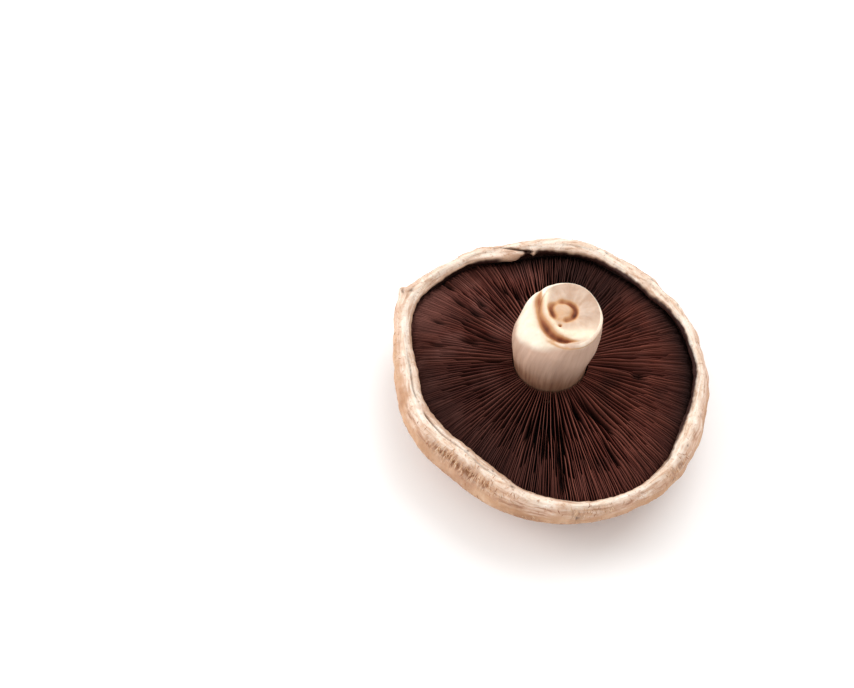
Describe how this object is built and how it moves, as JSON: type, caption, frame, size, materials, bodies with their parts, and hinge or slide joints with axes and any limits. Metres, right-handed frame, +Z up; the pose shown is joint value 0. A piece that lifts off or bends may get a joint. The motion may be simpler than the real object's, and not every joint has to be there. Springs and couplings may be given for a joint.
{
  "type": "portobello mushroom",
  "caption": "Open portobello mushroom lying on its domed cap, with the rolled rim, the dark gills and the cut stem facing up.",
  "frame": {"origin": "the middle of the small flat spot on the dome that the mushroom rests on", "axes": "+Z up along the stem, +X to the right as one looks down on the gills from the side where the stem's crack opens, +Y away from there"},
  "size_m": [0.1158, 0.1189, 0.0512],
  "materials": {
    "cap_skin": "dry matt skin, tan on the dome and cream on the rolled rim, with brown fibres and scales",
    "gill_flesh": "soft matt dark reddish brown plates",
    "stem_flesh": "smooth moist cream flesh, browned in the grooves of the cut"
  },
  "bodies": {
    "root": {"cap": "cap_skin", "gills": "gill_flesh", "stem": "stem_flesh"}
  },
  "joints": []
}
